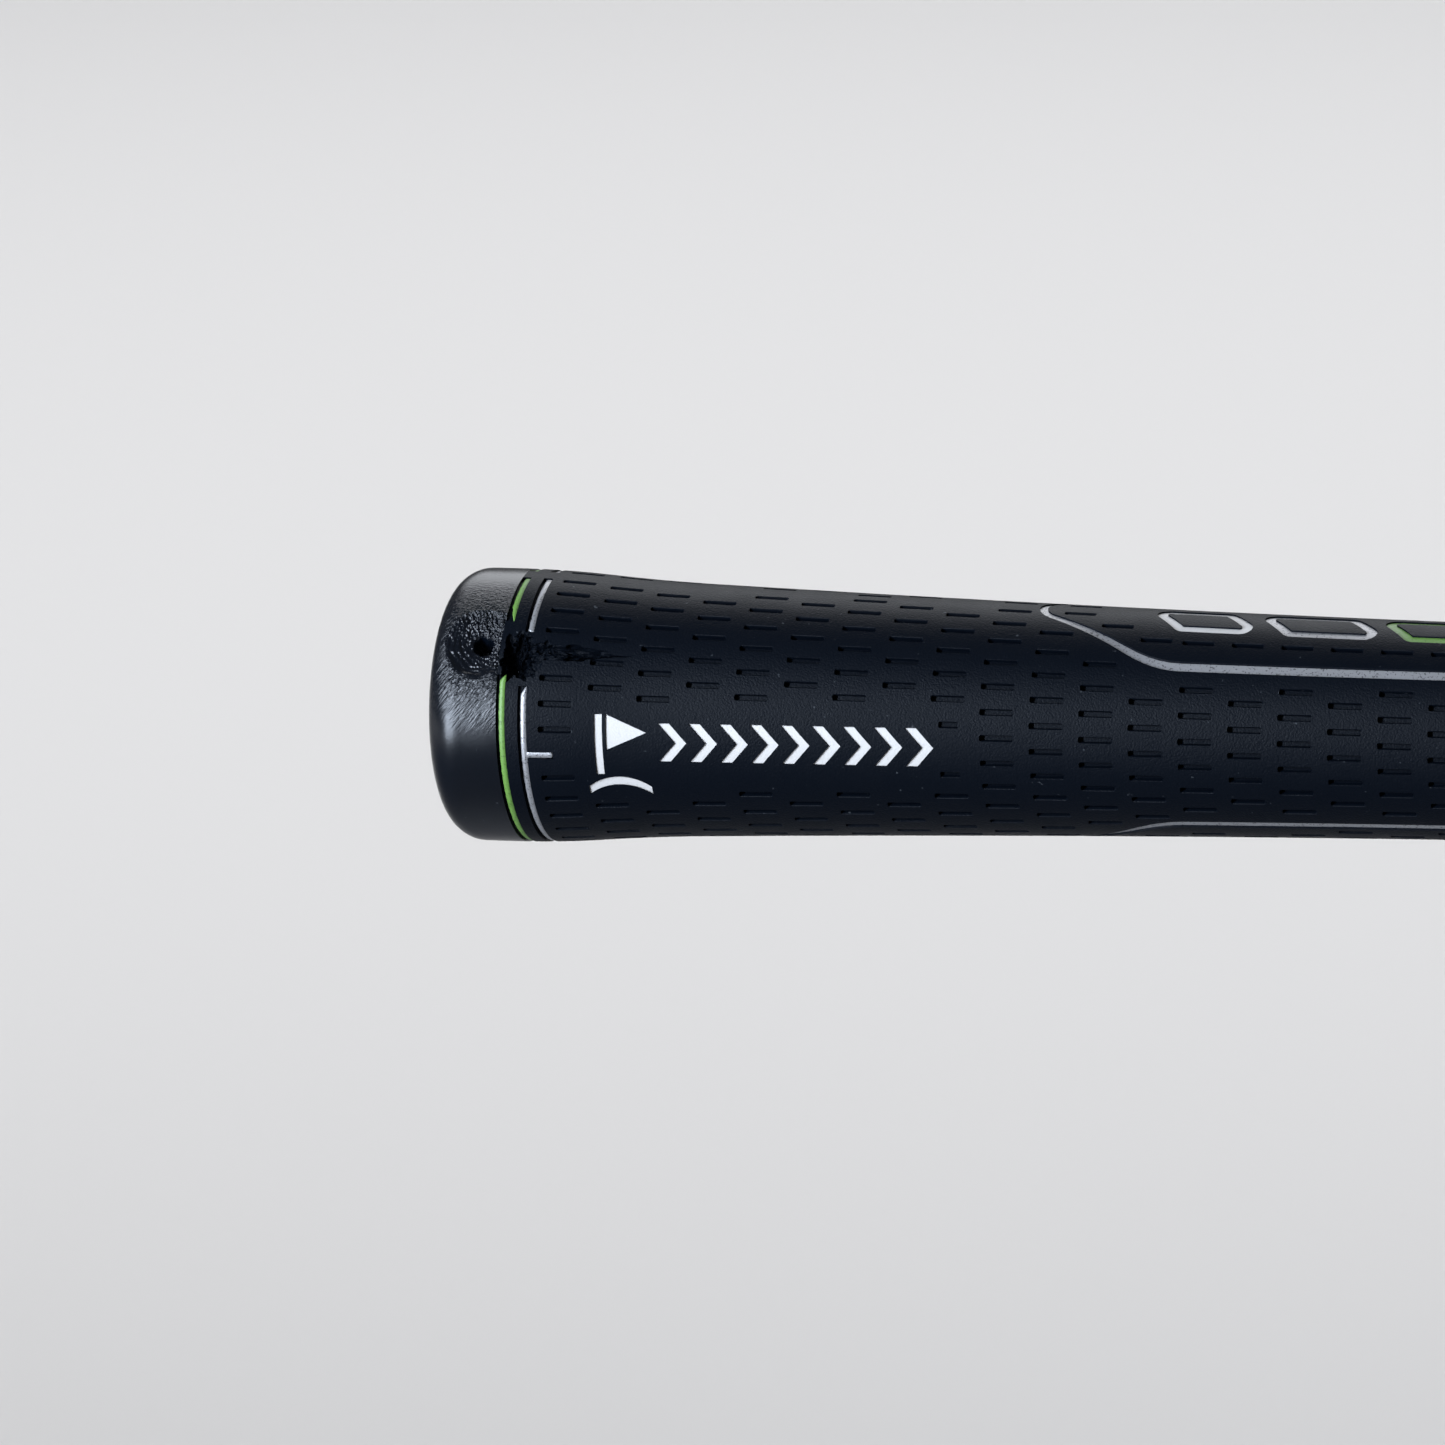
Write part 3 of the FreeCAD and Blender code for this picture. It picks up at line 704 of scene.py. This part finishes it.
def cap_profile():
    """The cap's closed section: dome, corner, wall, collar, seat and vent."""
    form = sizes("grip_form")
    dome_middle = CAP_END + form.dome
    rise = form.butt - form.corner
    corner_middle = dome_middle - math.sqrt((form.dome - form.corner) ** 2 - rise**2)
    lean = math.asin(rise / (form.dome - form.corner))
    vent_lean = math.asin(form.vent / form.dome)
    profile = []
    dome_steps, corner_steps, wall_steps = 15, 10, 9
    for n in range(dome_steps + 1):
        bend = vent_lean + (lean - vent_lean) * n / dome_steps
        profile.append((dome_middle - form.dome * math.cos(bend), form.dome * math.sin(bend)))
    for n in range(1, corner_steps + 1):
        bend = lean + (math.pi / 2 - lean) * n / corner_steps
        profile.append((corner_middle - form.corner * math.cos(bend), rise + form.corner * math.sin(bend)))
    for n in range(1, wall_steps + 1):
        x = corner_middle + (JOINT - corner_middle) * n / wall_steps
        profile.append((x, skin(x)[0]))
    profile += [(JOINT, form.collar), (COLLAR_END, form.collar), (COLLAR_END, BORE), (0.0, BORE)]
    profile += [(0.0, form.vent)]
    return profile


def dish_drop(along, around):
    """How far the cap's skin drops at a place in the dish, measured from its middle."""
    damage = sizes("grip_damage")
    reach = math.hypot(along, around)
    here = Vector((along, around, 0.0))
    share = reach / (damage.dish_radius * (1 + 0.12 * rough(here, 2.2 * MM, 5)))
    bowl = damage.dish_depth * max(0.0, 1 - share**2)
    fade = max(0.0, min(1.0, (1.15 - share) / 0.3))
    # The bowl is crumbled on its upper and mouth side, and smooth with faint rings on the other.
    torn = 0.5 + 0.5 * math.tanh((along * 0.75 - around * 0.6 + 0.5 * MM) / (1.2 * MM))
    grain = 0.17 * MM * rough(here, 0.5 * MM, 11, 2) + 0.17 * MM * rough(here, 0.22 * MM, 17, 2)
    ridge_height, ridge_pitch = 0.03 * MM, 0.6 * MM
    ridge = ridge_height * math.sin(2 * math.pi * (reach / ridge_pitch + 0.6 * rough(here, 1.5 * MM, 29)))
    hole_shift, hole_height, hole_wall = 0.15 * MM, 1.18, 0.06 * MM
    hole_reach = math.hypot(along - hole_shift, (around - hole_shift) / hole_height)
    hole_edge = damage.hole_radius * (1 + 0.25 * rough(here, 0.8 * MM, 23))
    hole = 1 / (1 + math.exp(min(40.0, (hole_reach - hole_edge) / hole_wall)))
    bite_length, bite_width = 0.55 * MM, 1.7 * MM
    bite_along = (along + damage.dish_place - damage.bite_place) / bite_length
    bite_around = (around + (damage.dish_turn - damage.bite_turn) * sizes("grip_form").butt) / bite_width
    bite = damage.bite_depth * math.exp(-(bite_along**2) - bite_around**2)
    return bowl + fade * (grain * (0.12 + torn) + ridge * (1 - torn)) + damage.hole_depth * hole + bite


def build_cap():
    """The moulded end cap, with its vent, collar and the scuffed dish."""
    form, damage = sizes("grip_form"), sizes("grip_damage")
    piece = turned("end_cap_moulding", cap_profile(), 176)
    build = bmesh.new()
    build.from_mesh(piece.data)
    wide_reach, close_reach = 5.0 * MM, 4.3 * MM
    # Beyond this place the wall turns inwards, and a share of that way counts as length too.
    corner_start, corner_share = -form.corner * 0.4, 0.35

    def in_dish(p, margin):
        """A point's place in the dish, along and around, or None where it lies outside."""
        radius = math.hypot(p.y, p.z)
        if radius < form.collar + 0.2 * MM or p.x > JOINT + 1e-6:
            return None
        around = (math.atan2(-p.y, p.z) - damage.dish_turn) * form.butt
        along = p.x - damage.dish_place
        if along < corner_start:
            along -= (form.butt - radius) * corner_share
        return (along, around) if math.hypot(along, around) < margin else None

    for reach in (wide_reach, wide_reach, close_reach):
        edges = {e for f in build.faces if all(in_dish(v.co, reach) for v in f.verts) for e in f.edges}
        bmesh.ops.subdivide_edges(build, edges=list(edges), cuts=1, use_grid_fill=True)
    for vert in build.verts:
        place = in_dish(vert.co, wide_reach)
        if place:
            inwards = Vector((0, -vert.co.y, -vert.co.z)).normalized()
            vert.co += inwards * dish_drop(*place)
    build.to_mesh(piece.data)
    build.free()
    return piece


def strip(build, stations):
    """A closed domed strip of paint through stations of place, side, outward way and half width."""
    section = ((-1.0, 0.0), (-1.0, 0.6), (-0.75, 0.92), (0.0, 1.0), (0.75, 0.92), (1.0, 0.6), (1.0, 0.0))
    loops = []
    for place, side, out, half in stations:
        rise = PAINT_WALL * min(1.0, 0.4 + half / (0.3 * MM))
        loops.append([build.verts.new(place + side * (half * a) + out * (rise * b)) for a, b in section])
    for here, beside in zip(loops, loops[1:]):
        for k in range(len(section)):
            after = (k + 1) % len(section)
            build.faces.new((here[k], here[after], beside[after], beside[k]))
    build.faces.new(loops[0])
    build.faces.new(reversed(loops[-1]))


def end_width(run, half, taper):
    """Half width of a strip at a distance from its end, which is round or torn to a taper."""
    if taper:
        return half * (0.12 + 0.88 * min(1.0, run / taper) ** 0.7)
    return half * max(0.12, math.sqrt(max(0.0, 1 - max(0.0, 1 - run / half) ** 2)))


def tick_stations(tick, edge, hand):
    """Stations along a ring's tick on one hand, from its recess's points, starting in the ring's edge."""
    heights = [p.z for p in tick]
    height, half = (min(heights) + max(heights)) / 2, 0.46 * (max(heights) - min(heights))
    end = max(p.x for p in tick) - 0.05 * MM  # the paint stops short of its recess
    start, steps = edge - 0.1 * MM, 30
    stations = []
    for n in range(steps + 1):
        x = start + (end - start) * n / steps
        reach = skin(x)[0] - RECESS
        out = round_place(0.0, 1.0, hand * math.acos(height / reach))
        side = Vector((1, 0, 0)).cross(out) * hand
        stations.append((Vector((x, 0, 0)) + out * reach, side, out, end_width(end - x, half, 0.0)))
    return stations


def ring_piece(node):
    """One painted stretch of a ring, with its tick where it has one."""
    rings = sizes("grip_rings")
    taper_first, taper_last = (taper * MM for taper in TORN_ENDS.get(node, (0.0, 0.0)))
    points = [vert.co for vert in frame["nodes"][node].data.vertices]
    start = min(p.x for p in points)
    turns = [math.atan2(-p.y, p.z) % (2 * math.pi) for p in points]
    first, last = min(turns), max(turns)
    full, seed = rings.width / 2, len(node)
    edge = start + rings.gap + rings.width
    radius, slope = skin(start + rings.gap + full)
    radius -= RECESS
    step = 0.12 * MM
    count = int((last - first) * radius / step)
    stations = []
    for n in range(count + 1):
        turn = first + (last - first) * n / count
        before, after = (turn - first) * radius, (last - turn) * radius
        half = min(end_width(before, full, taper_first), end_width(after, full, taper_last))
        out = round_place(0.0, 1.0, turn)
        half *= 1 + 0.10 * rough(Vector((before, 0, 0)), 0.5 * MM, seed)
        torn = before < taper_first or after < taper_last
        middle = edge - half if torn else edge - full
        side = (Vector((1, 0, 0)) + out * slope).normalized()
        stations.append((Vector((middle, 0, 0)) + out * radius, side, out, half))
    build = bmesh.new()
    strip(build, stations)
    tick = [p for p in points if p.x > edge + MM]
    if tick:
        strip(build, tick_stations(tick, edge, 1 if first < math.pi else -1))
    bmesh.ops.recalc_face_normals(build, faces=build.faces)
    mesh = bpy.data.meshes.new(f"{node}_paint")
    build.to_mesh(mesh)
    build.free()
    piece = bpy.data.objects.new(mesh.name, mesh)
    bpy.context.scene.collection.objects.link(piece)
    return piece


def new_material(name):
    """A material with its shader, and the point in the frame that its textures read."""
    material = bpy.data.materials.new(name)
    material.use_nodes = True
    nodes = Nodes(material.node_tree)
    place = nodes.add("ShaderNodeTexCoord").outputs["Object"]
    return material, nodes, material.node_tree.nodes["Principled BSDF"], place


def rubber(name, shade, roughness, gloss, grain, crease, crumb):
    """Moulded rubber with dust. The last three are the heights of its grain, creases and crumbs."""
    damage = sizes("grip_damage")
    material, nodes, shader, place = new_material(name)
    fine = nodes.speckle(place, 5200.0, 3.0)
    broad = nodes.speckle(place, 240.0, 4.0)
    dust = nodes.speckle(place, 1700.0, 1.0).above(0.76, 18.0)
    # Creases run slanting up over the cap, drawn out along their length.
    slanted = nodes.add("ShaderNodeMapping", {"vector_type": "TEXTURE"}, {
        "Vector": place, "Rotation": (0.0, -50 * DEGREE, 0.0), "Scale": (11.0, 1.0, 1.0),
    }).outputs[0]
    creases = nodes.speckle(slanted, 4300.0, 3.0, 0.6)
    wound = seat_on_skin(damage.dish_turn, damage.dish_place).translation
    away = nodes.value("ShaderNodeVectorMath", {"operation": "DISTANCE"}, {0: place, 1: wound}, output=1)
    near, inside = nodes.rise(away, 10.0 * MM, 4.0 * MM), nodes.rise(away, 4.0 * MM, 3.2 * MM)
    offset = nodes.value("ShaderNodeVectorMath", {"operation": "SUBTRACT"}, {0: place, 1: wound})
    crumbled_side = (0.75, 0.15, 0.6)
    above = nodes.value("ShaderNodeVectorMath", {"operation": "DOT_PRODUCT"},
                        {0: offset, 1: crumbled_side}, output=1)
    crumbled = nodes.rise(above, -0.9 * MM, 1.2 * MM) * inside * crumb
    nodes.tone(shader, dust * 0.45, shade, (0.10, 0.11, 0.12))
    torn = nodes.value("ShaderNodeAttribute", {"attribute_name": "torn"}, output=2)
    gleam = (broad - 0.5) * 0.12 + roughness + (fine - 0.5) * 0.10 + torn * 0.1
    nodes.join(gleam, shader.inputs["Roughness"])
    shader.inputs["Specular IOR Level"].default_value = gloss
    relief = fine * grain + creases * near * (1.0 - inside) * crease
    relief = relief + broad * (0.4 * grain) + fine * (crumbled + torn * 1.5)
    nodes.bump(shader, 0.5, 0.1 * MM, relief)
    return material


def paint(name, shade, roughness, metallic=0.0, wear=0.5):
    """A paint fill: slightly grainy, with small worn specks where the rubber shows."""
    material, nodes, shader, place = new_material(name)
    fine = nodes.speckle(place, 4200.0, 3.0)
    chips = nodes.speckle(place, 4600.0, 3.0)
    nodes.tone(shader, chips.above(0.57, 12.0) * wear, shade, [0.12 * part for part in shade])
    nodes.join((fine - 0.5) * 0.2 + roughness, shader.inputs["Roughness"])
    shader.inputs["Metallic"].default_value = metallic
    nodes.bump(shader, 0.35, 0.06 * MM, fine + chips)
    return material


class GRIP_OT_cap(bpy.types.Operator):
    """Builds the moulded end cap"""

    bl_idname = "grip.cap"
    bl_label = "End Cap"

    def execute(self, context):
        finish = sizes("grip_finish")
        material = rubber(
            "Cap Rubber", finish.rubber, roughness=0.24, gloss=0.46, grain=0.15, crease=4.6, crumb=2.5
        )
        piece = finish_piece(build_cap(), "cap_rubber", material, "end_cap")
        sharp = 50 * DEGREE
        piece.data.set_sharp_from_angle(angle=sharp)
        return {"FINISHED"}


class GRIP_OT_sleeve(bpy.types.Operator):
    """Builds the slotted rubber sleeve with its recesses and its tear"""

    bl_idname = "grip.sleeve"
    bl_label = "Sleeve"

    def execute(self, context):
        tread, finish = sizes("grip_tread"), sizes("grip_finish")
        material = rubber(
            "Sleeve Rubber", finish.rubber, roughness=0.44, gloss=0.085, grain=1.0, crease=1.6, crumb=0.0
        )
        piece = turned("sleeve_moulding", sleeve_profile(), 128)
        apply_tree(
            piece, Tread().build(), slot=slot_tool("slot_cutter"), pockets=pocket_tool("pocket_cutter"),
            material=material, columns=tread.columns, rows=tread.rows,
            first_column=tread.first, column_pitch=tread.column, row_pitch=tread.row,
            slot_length=tread.slot_length, side_angle=tread.side, twist=tread.twist,
            twist_run=tread.twist_run, seam_margin=tread.seam_margin, fill_margin=tread.fill_margin,
            short_shift=tread.short_shift, panel_start=tread.panel_start, panel_end=tread.panel_end,
            panel_slope=tread.panel_slope, panel_half=tread.panel_half, edge_start=tread.edge_start,
            edge_arc=tread.edge_arc, edge_first=tread.edge_first, edge_pitch=tread.edge_pitch,
            edge_columns=tread.edge_columns, **{f"tear_{lobe}": tear_tool(lobe) for lobe in TEARS},
        )
        finish_piece(piece, "sleeve_rubber", material, "grip_sleeve")
        mark_torn(piece.data)
        shade_by_form(piece.data)
        return {"FINISHED"}


class GRIP_OT_paint(bpy.types.Operator):
    """Paints the fills and the tape"""

    bl_idname = "grip.paint"
    bl_label = "Paint Fills"

    def execute(self, context):
        finish = sizes("grip_finish")
        materials = {
            "green_paint": paint("Green Paint", finish.green, 0.45),
            "silver_paint": paint("Silver Paint", finish.silver, 0.4, 0.5, wear=0.8),
            "white_paint": paint("White Paint", finish.white, 0.4, wear=0.1),
            "tape": paint("Paper Tape", finish.tape, 0.8, wear=0.2),
        }
        for node in RING_FILLS:
            slot = "green_paint" if "green" in node else "silver_paint"
            finish_piece(ring_piece(node), slot, materials[slot], node)
        slots = {part["node"]: part["material_slot"] for part in frame["record"]["subparts"]}
        for name, node in frame["nodes"].items():
            if slots[name] in materials and name not in RING_FILLS:
                for n in range(len(node.material_slots)):
                    node.material_slots[n].material = materials[slots[name]]
        return {"FINISHED"}


def pale_floor(shade):
    """A wide square floor below the grip."""
    half, z = 20.0, -1.0
    mesh = bpy.data.meshes.new("pale_floor")
    corners = [(-half, -half, z), (half, -half, z), (half, half, z), (-half, half, z)]
    mesh.from_pydata(corners, [], [(0, 1, 2, 3)])
    material = bpy.data.materials.new("Pale Floor")
    material.use_nodes = True
    shader = material.node_tree.nodes["Principled BSDF"]
    shader.inputs["Base Color"].default_value = (*shade, 1)
    shader.inputs["Roughness"].default_value = 0.9
    mesh.materials.append(material)
    piece = bpy.data.objects.new("pale_floor", mesh)
    bpy.context.scene.collection.objects.link(piece)


def soft_sky(shade, strength):
    """An even, weak light from everywhere."""
    world = bpy.data.worlds.new("Soft Sky")
    world.use_nodes = True
    sky = world.node_tree.nodes["Background"]
    sky.inputs["Color"].default_value = (*shade, 1)
    sky.inputs["Strength"].default_value = strength
    bpy.context.scene.world = world


def lamp(name, place, towards, size, radiance, shade, spread):
    """A soft rectangular lamp of a given radiance, its spread in degrees."""
    light = bpy.data.lights.new(name, "AREA")
    light.shape, light.spread = "RECTANGLE", spread * DEGREE
    light.size, light.size_y = size
    light.energy, light.color = radiance * size[0] * size[1] * math.pi, shade
    piece = bpy.data.objects.new(name, light)
    piece.location = place
    piece.rotation_euler = (Vector(towards) - Vector(place)).to_track_quat("-Z", "Y").to_euler()
    bpy.context.scene.collection.objects.link(piece)


def lamps(side):
    """A window on the left, which the cap mirrors, a weak lamp above, and lamps that light only the floor."""
    window = (Vector((-0.55, 0, 0)) + side * 0.84) * 0.8
    lamp("left_window", window, (0, 0, 0), (0.42, 0.8), radiance=6.7, shade=(0.75, 0.85, 1.0), spread=110)
    above = (0.0, 0.95, 0.65)
    lamp("overhead", above, (0, 0, 0), (1.6, 0.8), radiance=0.75, shade=(0.92, 0.95, 1.0), spread=90)
    floor_lamps = {
        "backdrop_lamp": (-1.0, 3.9), "right_lamp": (4.9, 1.2), "left_lamp": (-5.6, -0.2),
        "front_lamp": (3.9, -3.6), "corner_lamp": (-4.2, -3.9),
    }
    high, low = 1.6, -1.0
    for name, (x, y) in floor_lamps.items():
        lamp(name, (x, y, high), (x, y, low), (4.2, 4.2), radiance=0.99, shade=(1, 1, 1), spread=80)


class GRIP_OT_stage(bpy.types.Operator):
    """Sets the floor, the lamps, the sky and the camera"""

    bl_idname = "grip.stage"
    bl_label = "Stage"

    def execute(self, context):
        view, scene = sizes("grip_view"), context.scene
        along = Vector((1, 0, 0))
        side = Vector((0, -math.cos(view.lift), math.sin(view.lift)))
        rise = Vector((0, math.sin(view.lift), math.cos(view.lift)))
        pale_floor(sizes("grip_finish").floor)
        soft_sky((0.97, 0.98, 1.0), 0.1)
        lamps(side)
        scene.view_settings.view_transform = "Standard"
        camera = bpy.data.cameras.new("Camera")
        camera.lens = view.lens
        camera.clip_start, camera.clip_end = 0.05, 60.0
        piece = bpy.data.objects.new("Camera", camera)
        scene.collection.objects.link(piece)
        back = along * math.sin(view.swing) + side * math.cos(view.swing)
        level = along * math.cos(view.swing) - side * math.sin(view.swing)
        right = level * math.cos(view.roll) + rise * math.sin(view.roll)
        up = rise * math.cos(view.roll) - level * math.sin(view.roll)
        ring = Vector((view.place, 0, 0))
        eye = ring + right * view.left - up * view.above + back * view.distance
        axes = Matrix((right, up, back)).transposed().to_4x4()
        piece.matrix_world = Matrix.Translation(eye) @ axes
        scene.camera = piece
        return {"FINISHED"}


class GRIP_PT_panel(bpy.types.Panel):
    """Lists the grip's pieces"""

    bl_label = "Golf Grip"
    bl_idname = "GRIP_PT_panel"
    bl_space_type = "VIEW_3D"
    bl_region_type = "UI"
    bl_category = "Grip"

    def draw(self, context):
        for operator in OPERATORS:
            self.layout.operator(operator.bl_idname)


GROUPS = {
    "grip_form": GripForm, "grip_tread": GripTread, "grip_rings": GripRings,
    "grip_damage": GripDamage, "grip_finish": GripFinish, "grip_view": GripView,
}
OPERATORS = (GRIP_OT_cap, GRIP_OT_sleeve, GRIP_OT_paint, GRIP_OT_stage)


def register():
    """Registers the classes and hangs the groups on the scene."""
    for cls in (*GROUPS.values(), *OPERATORS, GRIP_PT_panel):
        bpy.utils.register_class(cls)
    for name, group in GROUPS.items():
        setattr(bpy.types.Scene, name, bpy.props.PointerProperty(type=group))


def unregister():
    """Takes both away again."""
    for name in GROUPS:
        delattr(bpy.types.Scene, name)
    for cls in reversed((*GROUPS.values(), *OPERATORS, GRIP_PT_panel)):
        bpy.utils.unregister_class(cls)


def main():
    """Builds every piece and the stage."""
    register()
    bpy.ops.grip.cap()
    bpy.ops.grip.sleeve()
    bpy.ops.grip.paint()
    bpy.ops.grip.stage()


if __name__ == "__main__":
    main()
